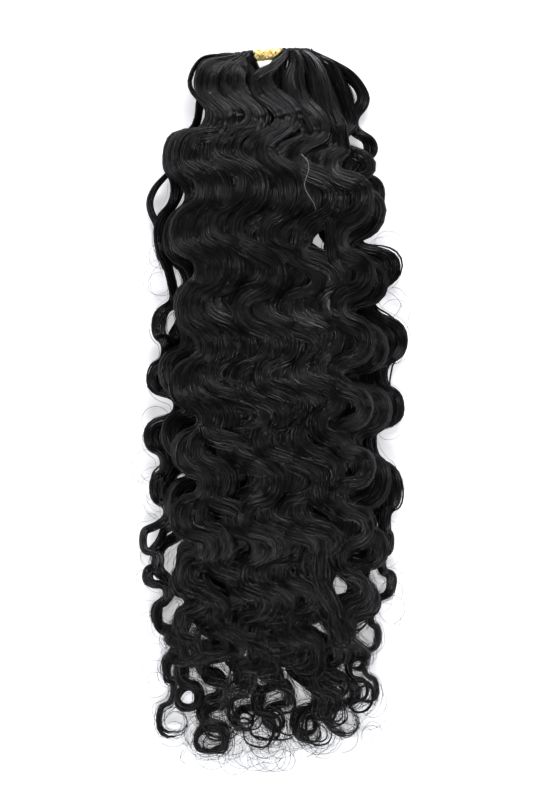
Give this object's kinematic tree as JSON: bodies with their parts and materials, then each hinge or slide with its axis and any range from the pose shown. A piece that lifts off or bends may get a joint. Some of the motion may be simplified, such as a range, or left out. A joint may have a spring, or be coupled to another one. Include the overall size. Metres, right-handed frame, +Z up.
{
  "type": "crochet hair extension",
  "caption": "Pack of pre-looped crochet hair: long deep-wave strands strung by their loops on a gold cord tie, lying flat, with curled ends.",
  "frame": {"origin": "on the surface that the pack lies on, under the middle of its outline", "axes": "+Y along the pack towards the tie, +X to its right seen from above, +Z up"},
  "size_m": [0.1468, 0.3913, 0.0325],
  "materials": {
    "hair": "satin synthetic fibre, natural black",
    "tie": "twisted gold thread"
  },
  "bodies": {
    "root": {"tie": "tie", "strand_b1": "hair", "strand_b2": "hair", "strand_b3": "hair", "strand_b4": "hair", "strand_b5": "hair", "strand_b6": "hair", "strand_m1": "hair", "strand_m2": "hair", "strand_m3": "hair", "strand_m4": "hair", "strand_m5": "hair", "strand_t1": "hair", "strand_t2": "hair", "strand_t3": "hair", "strand_t4": "hair", "strand_t5": "hair"}
  },
  "joints": []
}
